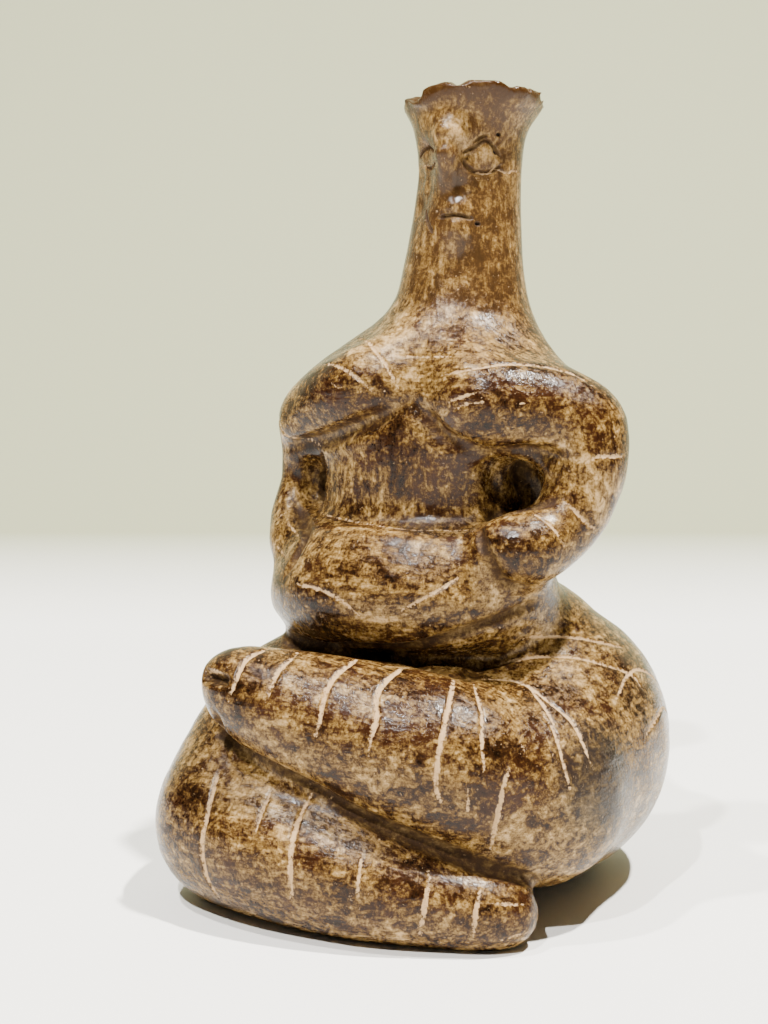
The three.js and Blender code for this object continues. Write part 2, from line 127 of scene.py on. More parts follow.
# Plate, kind, and the paths as points across and up the plate.
lines = [
    ("front", "shinCrease", [
        [(-46.8, 30.4), (-45.3, 27.1), (-41.9, 23.8), (-36.3, 20.6), (-32.2, 18.3), (-27.1, 15.5),
         (-20.5, 11.5), (-15.7, 9), (-11.6, 7.2), (-3.8, 3.9), (3.8, 0.6), (9.7, -1), (13.9, -2.2)],
    ]),
    ("front", "softCrease", [
        [(-40.4, 44.1), (-35.8, 43.7), (-31.5, 43), (-24.4, 42.4), (-18.5, 41.4), (-9.9, 39.9),
         (-2, 37.8), (0.6, 37.2), (3.2, 39), (6.9, 40.5)],
    ]),
    ("front", "underFold", [
        [(-9.6, 88.7), (-6.7, 85.4), (-4.5, 83), (-0.9, 81), (4.4, 79.1), (11.4, 79.5), (16.8, 78.4),
         (20, 77.6)],
        [(-10.7, 88.4), (-15.5, 86), (-21.1, 83.6), (-26.6, 81.5), (-30.9, 80.6), (-33.5, 80.6)],
    ]),
    ("front", "toeNotch", [
        [(-48.6, 37.7), (-47.4, 37.4), (-46.1, 37), (-44.6, 36.5)],
    ]),
    ("front", "crease", [
        [(-37.6, 48.4), (-35.2, 46.7), (-32.9, 44.8), (-30.7, 43.9), (-27.2, 43.5), (-21.5, 43.3),
         (-11.8, 42.8), (-4.3, 44.3), (5, 47.7), (14.3, 51.3)],
        [(3, 65.6), (3.4, 62.7), (5.3, 58.8), (7.4, 55.2), (10.6, 54.5), (12.8, 54.5)],
        [(3.8, 66.3), (5.8, 67.4), (10.8, 68.9), (15.4, 69.8), (18.2, 71)],
        [(-31.7, 71), (-29.3, 65.2), (-30.8, 60.9), (-32.9, 56.9)],
    ]),
    ("front", "pocket", [
        [(10.6, 72.5), (10.8, 77)],
        [(-27.6, 69), (-27.4, 78.5)],
    ]),
    ("front", "armHole", [
        [(10.7, 71.8), (10.9, 77.2)],
    ]),
    ("front", "armSlot", [
        [(-26.6, 68.5), (-26, 73), (-26.3, 79)],
    ]),
    ("front", "wideCut", [
        [(-36.1, 43), (-40.7, 40.3), (-43.3, 34.8), (-44.1, 32.7)],
        [(-30.9, 41.8), (-34.7, 38), (-37, 32.5)],
        [(-19.5, 40.9), (-23.8, 37.4), (-25.9, 33.8), (-27.2, 27.7), (-27.8, 25.4)],
        [(-10.9, 39.5), (-14.6, 36.3), (-16.3, 33.2), (-16.1, 29.8), (-17.4, 25), (-18, 22.1)],
        [(-1.7, 36.9), (-2.4, 32.7), (-3.9, 25.6), (-5, 16.9), (-4, 13)],
        [(8.8, 20.2), (7.3, 13), (5.5, 3.9)],
        [(-45.8, 19.6), (-47.7, 13.4), (-49.3, 5.6), (-48.6, -0.6), (-46.2, -5.5)],
        [(-28.6, 14.4), (-30.9, 9.9), (-32.3, 4.7), (-32.7, -0.6), (-32.3, -6.1)],
        [(-6.2, -0.2), (-6.6, -4.9), (-8.1, -13)],
        [(3.5, -3.7), (2.7, -8.8), (2, -14.2)],
    ]),
    ("front", "cut", [
        [(2.1, 36.1), (3.6, 30), (3.7, 24), (4.1, 19.2)],
        [(1.1, 15.7), (1.1, 10.7)],
        [(-36, 15.4), (-37.7, 11.9), (-39.4, 6.4)],
        [(-18.8, 3.7), (-19.7, -2.8), (-19.4, -7.7)],
        [(12, 35.7), (15.3, 31.5), (17.6, 27.5)],
        [(10.6, 44.7), (20.8, 44.7), (30.3, 42.8)],
        [(4.7, 39.1), (12.2, 40.9), (20.8, 40.9), (30.8, 38.2), (34, 35)],
        [(3.2, 36.9), (10.7, 36.1), (16.8, 31.9), (21, 27.9), (24.8, 19.6)],
        [(14.9, 30.4), (17.4, 26.3), (20.5, 15.5)],
        [(-19.8, 100.4), (-17.9, 99.9), (-16.3, 97.9), (-14.2, 95.3), (-12, 90.9)],
        [(-26.2, 95.5), (-23.8, 95.5), (-20.5, 93.7), (-16.6, 90.4)],
        [(-24.6, 92.4), (-23.5, 91.5), (-21.8, 91.3)],
        [(-4.5, 93.7), (2.5, 95), (7.8, 95.7), (14.8, 95.3), (20.1, 93.9), (23.7, 91.8)],
        [(-3.4, 88.4), (-0.1, 89.8), (3.2, 90.7)],
        [(-2.1, 87.4), (0.7, 88.4), (3.6, 88.7)],
        [(21.5, 76.7), (25, 78.6), (29.8, 78.6)],
        [(18.2, 71), (22.5, 66.7), (25.2, 64.6)],
        [(13, 68.2), (16.6, 65.4), (18.7, 62)],
        [(-34.9, 67.2), (-32.8, 68.5)],
        [(-32.8, 66.5), (-30.6, 63.7)],
        [(-34.5, 61.8), (-32.9, 59.6)],
        [(-31.8, 55), (-27.1, 53.9), (-22.8, 51.7), (-19.1, 48.6)],
        [(-12.7, 49.2), (-6.2, 52.8), (0.1, 56.6)],
        [(5.2, -6.5), (11.7, -6.9)],
        [(7.5, -14), (12.9, -12.2)],
        [(-49.9, 38.2), (-47.1, 38.6), (-44.4, 37.8)],
    ]),
    ("front", "fineCut", [
        [(8.2, 88.4), (11.7, 88.4)],
        [(9.9, 27.1), (12.2, 22.1)],
        [(-14.6, 97.2), (-7.8, 97), (-0.8, 97.2)],
        [(-26.5, 68), (-22, 67), (-12, 65.2), (-4.4, 65), (3, 65)],
    ]),
    ("front", "ridge", [
        [(4.7, 41.2), (7.9, 43.1), (10.6, 44.7), (12.7, 45.4)],
    ]),
    ("front", "hollowCheek", [
        [(-0.8, 132.5), (-0.2, 129), (0.8, 126)],
        [(-6.8, 132), (-6.9, 128), (-6.6, 125)],
    ]),
    ("front", "lowRidge", [
        [(-5.9, 123.8), (-3.5, 124.3), (-0.8, 124.5)],
        [(-4.6, 120.6), (-2.8, 119.6), (-0.8, 119.2), (1.2, 119.9)],
    ]),
    ("front", "lidCut", [
        [(-0.5, 133.8), (1.3, 134.7), (3.5, 136), (4.8, 135), (6.2, 133.1)],
        [(-0.4, 132.7), (0.4, 131.4), (1.9, 130.4), (4.8, 130.6), (6.4, 131.5)],
        [(-5.4, 134), (-6.5, 134.8), (-7.5, 134.3), (-8.3, 132.9)],
        [(-5.2, 132.2), (-6.1, 131.1), (-7.5, 131.3)],
        [(-5.9, 119.5), (-6.8, 121.4), (-7.3, 123.6)],
    ]),
    ("front", "slit", [
        [(-4.8, 122.3), (-1.7, 122.5), (1.4, 122.1)],
        [(1.5, 135.8), (2.6, 136.4), (4, 137)],
    ]),
    ("front", "pit", [
        [(5.1, 134), (5.3, 133.8)],
        [(5.8, 137.1), (6, 137)],
        [(2.1, 121.1), (2.5, 121.1)],
    ]),
    ("front", "crack", [
        [(1.7, 130.2), (4.3, 130.1), (5.3, 130.9), (7.5, 130.2), (8.8, 130.6), (10.3, 130)],
        [(-8.5, 131.1), (-7.5, 131.5), (-6.6, 131.4)],
    ]),
    ("back", "cut", [
        [(-27, 84), (-18, 93), (-8, 97)],
        [(10, 97), (20, 93), (29, 86)],
        [(-24, 36), (-20, 26), (-14, 18)],
        [(16, 38), (21, 28), (26, 20)],
    ]),
    ("left", "cut", [
        [(-16, 33), (-4, 36), (10, 30)],
        [(-12, 24), (2, 26), (14, 19)],
        [(-6, 86), (2, 84), (7, 79)],
    ]),
    ("right", "cut", [
        [(20, 26), (14, 18), (12, 8)],
        [(8, 32), (2, 24), (-1, 14)],
        [(-4, 88), (4, 86), (9, 80)],
    ]),
]

# Middle lines of the limbs, in mm. The burnishing strokes and the streaks in the slip follow them.
limbs = {
    "neck": {"radius": 11, "path": [(-2, 2, 101), (0, 3.5, 150)]},
    "leftArm": {"radius": 8, "path": [(-2, -10, 91), (12, -12, 89), (24.4, -5, 85), (26, -6, 77),
                                      (22.6, -11.5, 66.6), (14, -20, 64)]},
    "rightArm": {"radius": 8, "path": [(-5, -10, 91), (-16, -11, 89), (-27, -7, 85), (-31, -6, 75),
                                       (-29, -13, 61)]},
    "torso": {"radius": 14, "path": [(-5, -4, 82), (-6, -4, 68)]},
    "back": {"radius": 12, "path": [(-3, 2, 52), (-2, 2, 100)]},
    "belly": {"radius": 9, "path": [(-28, -8, 57), (-18, -19, 57), (-4, -23, 57), (10, -19, 57),
                                    (18, -8, 57)]},
    "upperShin": {"radius": 12, "path": [(-26, -38, 40), (-15, -35, 36), (-4, -32, 33), (12, -26, 28),
                                         (20, -16, 25)]},
    "lowerShin": {"radius": 12, "path": [(-29, -32, 14), (-12, -37, 12), (10, -35, 8), (22, -31, 5)]},
    "leftHaunch": {"radius": 24, "path": [(12, 16, 26), (14, 4, 25), (18, -6, 25)]},
    "rightHaunch": {"radius": 22, "path": [(-14, 16, 26), (-15, 0, 26), (-24, -18, 20)]},
}

# Where the dark slip is thick (plus) or worn off to the pale clay (minus): place, radius, amount. On
# the face some are painted light and shade instead.
slipAndFaceShadingPatches = {
    "front": [
        (6.6, 90, 8, 0.6), (23.2, 87.3, 6, 0.3), (-26.6, 90, 6, 0.5), (-6.4, 127.2, 5, 0.25),
        (0.9, 109.2, 6, 0.3), (-11.8, 76.2, 8, 0.35), (-28.6, 51.8, 6, 0.6), (12.4, 61.2, 5, 0.5),
        (-41.8, 34.8, 6, 0.5), (-8, 32.9, 7, 0.5), (7.1, 21.3, 8, 0.6), (35.1, 34.8, 6, 0.4),
        (-53.4, 13.6, 7, 0.5), (-11.8, -3.9, 7, 0.6), (8.3, -8.8, 5, 0.5), (4.4, 143.2, 5, 0.5),
        # Face: a painted highlight on the forehead, the dark chip at the nose's top, then painted shade
        # under the nose and on its lower part.
        (-2, 137.4, 3.2, -1.3), (-3.7, 132.9, 1, 1.8), (-1.4, 129, 1.8, 0.6), (-1.4, 126, 1.8, 1.1),
        (4, 133, 2.6, -0.5),
        (-11.9, 101.9, 6, -0.5), (2.8, 98.3, 6, -0.3), (25.2, 72.5, 6, -0.5),
        (10.6, 51.8, 7, -0.6), (18.1, 44.3, 7, -0.4), (-26.9, 23.3, 5, -0.4), (29.5, 32.9, 6, -0.3),
        (22.4, 5.8, 7, -0.5), (-38.2, 15.5, 6, -0.5), (-30.4, 59.4, 4, -0.3), (-24.9, 59.4, 6, -0.3),
        (6.3, 127.2, 5, -0.3), (-18.3, 98.3, 4, -0.5), (-13.7, -11.8, 6, -0.4),
    ],
}

# Low swellings in the clay: place, radius and height in mm (a hollow has a minus).
swellings = {
    "front": [
        (-2.4, 137.2, 2.6, 1.5), (-4.2, 137.6, 1.8, 0.7), (-3.6, 133.6, 1.5, 1.7),
        (-3.3, 130.9, 1.3, 0.8), (-1.8, 120.9, 1.6, 1.3), (-1.8, 124.2, 1.4, 1), (-1.8, 118, 2, 0.6),
        (3.6, 133, 1.8, 0.6), (-8.4, 129.5, 2.4, -1), (-8.4, 124.6, 2.4, -0.9),
        (-1, 127.6, 1.4, -0.8), (-7, 134.8, 1.5, -0.6), (0.3, 133.4, 1.1, -0.7),
        (1.6, 141, 2.8, -0.6), (6.4, 76, 3.4, -1.9), (6.2, 72, 2.6, -1.1),
    ],
}

# Where the mouth is broken away most: place, radius and depth in mm.
notches = {"front": [(-8.8, 144, 2.8, 2.2), (9.6, 144, 3, 1.1)]}

# Where smoke has darkened the clay: place, radius, amount.
sootPatches = {"front": [(27, 17, 11, 1), (37, 12, 9, 0.7)], "back": [(6, 30, 16, 0.7)]}


def selectOnly(piece):
    bpy.ops.object.select_all(action="DESELECT")
    piece.select_set(True)
    bpy.context.view_layer.objects.active = piece


def linear(hexColour):
    parts = [int(hexColour[i:i + 2], 16) / 255 for i in (1, 3, 5)]
    return tuple(p / 12.92 if p <= 0.04045 else ((p + 0.055) / 1.055) ** 2.4 for p in parts) + (1,)


def readPoints(mesh):
    values = np.empty(len(mesh.vertices) * 3)
    mesh.vertices.foreach_get("co", values)
    return values.reshape(-1, 3) / mm


def readNormals(mesh):
    values = np.empty(len(mesh.vertices) * 3)
    mesh.vertices.foreach_get("normal", values)
    return values.reshape(-1, 3)


def writePoints(mesh, points):
    mesh.vertices.foreach_set("co", (points * mm).ravel())
    mesh.update()


def smoothStep(low, high, values):
    t = np.clip((values - low) / (high - low), 0, 1)
    return t * t * (3 - 2 * t)


def pointTree(points):
    tree = KDTree(len(points))
    for i, point in enumerate(points):
        tree.insert(point, i)
    tree.balance()
    return tree


# A smooth curve through the points, cut into short steps.
def curveThrough(points, spacing):
    points = [np.array(p, float) for p in points]
    padded = [2 * points[0] - points[1]] + points + [2 * points[-1] - points[-2]]
    path = []
    for i in range(1, len(padded) - 2):
        a, b, c, d = padded[i - 1:i + 3]
        steps = max(2, int(np.linalg.norm(c - b) / spacing))
        for k in range(steps):
            t = k / steps
            path.append(0.5 * (2 * b + (c - a) * t + (2 * a - 5 * b + 4 * c - d) * t * t
                               + (3 * b - a - 3 * c + d) * t ** 3))
    path.append(padded[-2])
    return path


# Throws a point of a plate onto the clay, along the line from the plate's eye.
def plateCaster(tree, plate):
    turn = math.radians(plate["turn"])
    eye = Vector(plate["eye"])

    def cast(u, z):
        through = Vector((u * math.cos(turn), u * math.sin(turn), z))
        hit = tree.ray_cast(eye * mm, (through - eye).normalized())[0]
        return None if hit is None else np.array(hit) / mm
    return cast


def drawnLines(tree):
    drawn = []
    for plateName, kindName, paths in lines:
        cast = plateCaster(tree, figure["plates"][plateName])
        for path in paths:
            hits = [cast(u, z) for u, z in curveThrough(path, figure["lineSpacing"])]
            hits = [h for h in hits if h is not None]
            if len(hits) < 2:
                continue
            hits = np.array(hits)
            gaps = np.minimum(np.linalg.norm(np.diff(hits, axis=0), axis=1), 1)
            along = np.concatenate([[0], np.cumsum(gaps)])
            drawn.append((kindName, hits, along))
    return drawn


# How deep, how full of pale clay and how much painted crease shade each point gets under the lines
# drawn over it.
def lineFields(points, drawn):
    tree = pointTree(points)
    depth = np.zeros(len(points))
    fill = np.zeros(len(points))
    crease = np.zeros(len(points))
    for kindName, hits, along in drawn:
        kind = lineKinds[kindName]
        share = {}
        for place, far in zip(hits, np.minimum(along, along[-1] - along)):
            strength = min(1, lineEdges["endStrength"] + far / kind["taper"]) if kind["taper"] else 1
            half = kind["half"] * (lineEdges["endWidth"] + (1 - lineEdges["endWidth"]) * strength)
            for _, i, distance in tree.find_range(place, half * lineEdges["reach"]):
                old = share.get(i)
                if old is None or distance / half < old[1]:
                    share[i] = (strength, distance / half)
        index = np.array(list(share.keys()), int)
        level = np.array(list(share.values()))
        strength = level[:, 0]
        across = level[:, 1]
        depth[index] += kind["depth"] * strength * (1 - smoothStep(*lineEdges["depth"], across))
        wide = 1 - smoothStep(*lineEdges["fill"], across)
        fill[index] = np.maximum(fill[index], kind["fill"] * strength ** 0.5 * wide)
        softer = 1 - smoothStep(*lineEdges["crease"], across)
        crease[index] = np.maximum(crease[index], kind["crease"] * strength ** 0.5 * softer)
    return depth, fill, crease


def noiseAt(points, size, seed):
    offset = Vector([step * seed for step in figure["seedSteps"]])
    return np.array([noise.noise(Vector(p) / size + offset) for p in points])


# Which way the nearest limb runs at each point: the squares of its direction along X, Y and Z.
def runsAt(points):
    spans = []
    tangents = []
    for limb in limbs.values():
        path = np.array(curveThrough(limb["path"], figure["limbSpacing"]))
        runs = np.gradient(path, axis=0) ** 2
        runs /= runs.sum(1)[:, None]
        squares = (points ** 2).sum(1)[:, None] + (path ** 2).sum(1)[None] - 2 * points @ path.T
        nearest = squares.argmin(1)
        spans.append(np.sqrt(np.maximum(squares.min(1), 0)) - limb["radius"])
        tangents.append(runs[nearest])
    spans = np.array(spans)
    shares = np.exp(-(spans - spans.min(0)) / figure["blend"])
    shares /= shares.sum(0)
    return sum(share[:, None] * runs for share, runs in zip(shares, tangents))


def patchField(points, patches, tree):
    field = np.zeros(len(points))
    for plateName, places in patches.items():
        cast = plateCaster(tree, figure["plates"][plateName])
        for u, z, radius, amount in places:
            centre = cast(u, z)
            if centre is None:
                continue
            distance = np.linalg.norm(points - centre, axis=1)
            field += amount * np.exp(-(distance / radius) ** 2)
    return field


def keepFloat(mesh, name, values):
    attribute = mesh.attributes.new(name, "FLOAT", "POINT")
    attribute.data.foreach_set("value", values.astype(np.float32))


def readFloat(mesh, name):
    values = np.empty(len(mesh.vertices), np.float32)
    mesh.attributes[name].data.foreach_get("value", values)
    return values


def keepVector(mesh, name, values):
    attribute = mesh.attributes.new(name, "FLOAT_VECTOR", "POINT")
    attribute.data.foreach_set("vector", values.astype(np.float32).ravel())


def smoothSurface(piece, rounds):
    selectOnly(piece)
    bpy.ops.object.modifier_add(type="SMOOTH")
    smooth = piece.modifiers[-1]
    smooth.factor = 0.5
    smooth.iterations = rounds
    bpy.ops.object.modifier_apply(modifier=smooth.name)


# Where the points would lie on a much smoother copy. The distance to it tells a hollow from a crest.
def smoothedPoints(piece, rounds):
    selectOnly(piece)
    bpy.ops.object.duplicate()
    copy = bpy.context.active_object
    smoothSurface(copy, rounds)
    points = readPoints(copy.data)
    bpy.ops.object.delete()
    selectOnly(piece)
    return points


# Leaves the piece in edit mode with the chosen points selected.
def selectPoints(piece, chosen):
    selectOnly(piece)
    bpy.ops.object.mode_set(mode="EDIT")
    bpy.ops.mesh.select_mode(type="VERT")
    bpy.ops.mesh.select_all(action="DESELECT")
    bpy.ops.object.mode_set(mode="OBJECT")
    piece.data.vertices.foreach_set("select", chosen)
    bpy.ops.object.mode_set(mode="EDIT")


# Halves the faces near the given places.
def refineNear(piece, places, reach):
    points = readPoints(piece.data)
    tree = pointTree(points)
    chosen = np.zeros(len(points), bool)
    for place in places:
        for _, i, _ in tree.find_range(place, reach):
            chosen[i] = True
    selectPoints(piece, chosen)
    bpy.ops.mesh.subdivide(number_cuts=1, smoothness=0)
    bpy.ops.object.mode_set(mode="OBJECT")


print("figure: surface")
selectOnly(frame["nodes"]["vessel"])
bpy.ops.object.duplicate()
vessel = bpy.context.active_object
vessel.name = "figureVessel"
vessel.data.name = "figureVessel"
bpy.ops.object.parent_clear(type="CLEAR_KEEP_TRANSFORM")
bpy.ops.object.transform_apply(location=True, rotation=True, scale=True)
bpy.ops.object.mode_set(mode="EDIT")
bpy.ops.mesh.select_all(action="SELECT")
bpy.ops.mesh.remove_doubles(threshold=figure["weld"] * mm)
bpy.ops.object.mode_set(mode="OBJECT")
bpy.ops.object.modifier_add(type="REMESH")
remesh = vessel.modifiers[-1]
remesh.mode = "VOXEL"
remesh.voxel_size = figure["cell"] * mm
bpy.ops.object.modifier_apply(modifier=remesh.name)
smoothSurface(vessel, figure["smoothing"])

# The lip is hidden, so that what hangs together with a point in the bore is the inside alone.
print("figure: hollow")
points = readPoints(vessel.data)
inBore = int(np.argmin(np.linalg.norm(points - np.array(figure["inBore"]), axis=1)))
selectPoints(vessel, points[:, 2] > figure["lipBottom"])
bpy.ops.mesh.hide(unselected=False)
bpy.ops.object.mode_set(mode="OBJECT")
vessel.data.vertices[inBore].select = True
bpy.ops.object.mode_set(mode="EDIT")
bpy.ops.mesh.select_linked()
bpy.ops.object.mode_set(mode="OBJECT")
chosen = np.zeros(len(points), bool)
vessel.data.vertices.foreach_get("select", chosen)
hidden = np.zeros(len(points), bool)
vessel.data.vertices.foreach_get("hide", hidden)
inside = chosen & ~hidden
print("figure: inside points", int(inside.sum()), "of", len(points))
keepFloat(vessel.data, "inside", inside.astype(float))
broad = smoothedPoints(vessel, figure["cavityRounds"])
keepFloat(vessel.data, "cavity", ((broad - points) * readNormals(vessel.data)).sum(1))
bpy.ops.object.mode_set(mode="EDIT")
bpy.ops.mesh.reveal(select=False)
bpy.ops.object.mode_set(mode="OBJECT")
selectPoints(vessel, inside)
bpy.ops.mesh.decimate(ratio=figure["hollowShare"])
bpy.ops.object.mode_set(mode="OBJECT")

print("figure: lines")
outerTree = BVHTree.FromObject(vessel, bpy.context.evaluated_depsgraph_get())
drawn = drawnLines(outerTree)
thin = [hits[::2] for kindName, hits, _ in drawn if lineKinds[kindName]["half"] < figure["thinHalf"]]
thinPlaces = np.concatenate(thin)
refineNear(vessel, thinPlaces, figure["refineReach"])
refineNear(vessel, thinPlaces[thinPlaces[:, 2] > figure["faceBottom"]], figure["faceReach"])
points = readPoints(vessel.data)
normals = readNormals(vessel.data)
inside = readFloat(vessel.data, "inside") > 0.5
depth, fill, crease = lineFields(points, drawn)
runs = runsAt(points)
uneven = noiseAt(points, figure["unevennessSize"], 1) * figure["unevenness"]
strokes = np.zeros(len(points))
for axis in range(3):
    shrink = np.ones(3)
    shrink[axis] = figure["strokeStretch"]
    strokes += noiseAt(points * shrink, figure["strokeWidth"], 2 + axis) * runs[:, axis]
strokes *= figure["strokeHeight"]
flat = smoothStep(*figure["flatHeights"], points[:, 2])
swell = patchField(points, swellings, outerTree)
lift = (uneven + strokes) * flat + swell - depth
lift[inside] = 0

# The lip is broken away straight down, and nothing goes under the ground.
rimShare = smoothStep(figure["lipBottom"] + 1, figure["lipTop"], points[:, 2])
chips = np.maximum(noiseAt(points, figure["chipSize"], 3), 0) * figure["chipDepth"]
chips = (chips + patchField(points, notches, outerTree)) * rimShare
writePoints(vessel.data, points + normals * lift[:, None])
lowered = readPoints(vessel.data)
lowered[:, 2] = np.maximum(lowered[:, 2] - chips, 0)
writePoints(vessel.data, lowered)
keepFloat(vessel.data, "fill", fill)
# How much painted shade each point gets in creases, slits and pits.
keepFloat(vessel.data, "crease", crease)
# Slip patches, with painted light and shade on the face.
keepFloat(vessel.data, "slipAndFaceShading", patchField(lowered, slipAndFaceShadingPatches, outerTree))
keepFloat(vessel.data, "soot", patchField(lowered, sootPatches, outerTree))
keepFloat(vessel.data, "rim", rimShare)
keepVector(vessel.data, "runs", runs)
bpy.ops.object.shade_smooth()
print("figure: triangles", sum(len(p.vertices) - 2 for p in vessel.data.polygons))

print("figure: material")
# Sizes are in mm: blotches of slip 2 to 7 across, streaks 1.2 to 1.4 wide and four times as long. The
# grit is too fine to show, so it is drawn at 0.6. A noise is size, detail, roughness and distortion.
# A mask is a field, how far the mottling frays it, and the values where it starts and is full. A layer
# is how much of a mask shows, and its colour, and the layers lie over one another in this order.
clay = {
    "cream": "#ad8f63",
    "buff": "#765c31",
    "slipThin": "#4e3718",
    "slipBrown": "#281709",
    "slipDark": "#0e0602",
    "slipRed": "#381c0e",
    "soot": "#24211e",
    "rimClay": "#35200c",
    "fill": "#b4946c",
    "neckClay": "#64492a",
    # Painted shade for hollows and creases, and the plain dark clay inside the vessel.
    "shadeAndInnerClay": "#2c1b08",
    # Darkest painted shade, in pits, slits and slots.
    "pitShade": "#120903",
    "coverFrom": 0.4,
    "coverTo": 0.595,
    "coverStops": {"buff": 0.3, "slipThin": 0.5, "slipBrown": 0.68},
    "thickFrom": 0.48,
    "thickTo": 0.54,
    "noises": {
        "wide": (7, 3, 0.6, 0.4),
        "medium": (1.9, 6, 0.75, 0.5),
        "small": (0.6, 3, 0.7, 0),
        "red": (11, 3, 0.6, 0),
        "frayed": (0.8, 4, 0.8, 0),
    },
    "streaks": {"slipStreaks": (1.2, 6, 0.7, 0), "strokeStreaks": (1.4, 4, 0.6, 0)},
    "streakStretch": 0.25,
    "cover": {
        "wide": 0.18,
        "medium": 0.36,
        "slipStreaks": 0.28,
        "small": 0.18,
        "slipAndFaceShading": 0.06,
        "hollow": -0.02,
    },
    "masks": {
        # The hollow mask and the two crease masks set where painted shade goes.
        "hollow": ("cavity", 0, 0.1, 1.5),
        "neck": ("height", 0, 98, 112),
        "sooty": ("soot", 0.9, 0.6, 1.25),
        "rimShade": ("rim", 0.6, 0.4, 1),
        "creaseShade": ("crease", 0.5, 0.45, 1.2),
        "pit": ("crease", 0, 1.1, 1.8),
        "redPatch": ("red", 0, 0.45, 0.65),
        "filled": ("frayedFill", 1.6, 1.25, 1.7),
    },
    "fillFray": 3,
    "layers": {
        "reddish": (0.35, "slipRed"),
        "neck": (0.25, "neckClay"),
        # Painted shade in the hollows of the clay.
        "hollow": (0.55, "shadeAndInnerClay"),
        "sooty": (0.75, "soot"),
        "rimShade": (0.88, "rimClay"),
        # Painted shade along the creases, and on the next line darkest in pits, slits and slots.
        "creaseShade": (0.7, "shadeAndInnerClay"),
        "pit": (1, "pitShade"),
        "filled": (1, "fill"),
        "inside": (1, "shadeAndInnerClay"),
    },
    "slipRough": 0.14,
    "clayRough": 0.28,
    "fillRough": 0.75,
    "roughFray": 0.4,
    "specular": 0.17,
    "relief": {"strokeStreaks": 0.22, "thick": 0.02, "small": 0.04},
    "reliefStrength": 0.85,
}


# Adds a node with its settings and gives each socket its value or the output that feeds it.
def addNode(tree, kind, sockets, **settings):
    node = tree.nodes.new(kind)
    for name, value in settings.items():
        setattr(node, name, value)
    for socket, value in sockets.items():
        if isinstance(value, bpy.types.NodeSocket):
            tree.links.new(value, node.inputs[socket])
        else:
            node.inputs[socket].default_value = value
    return node
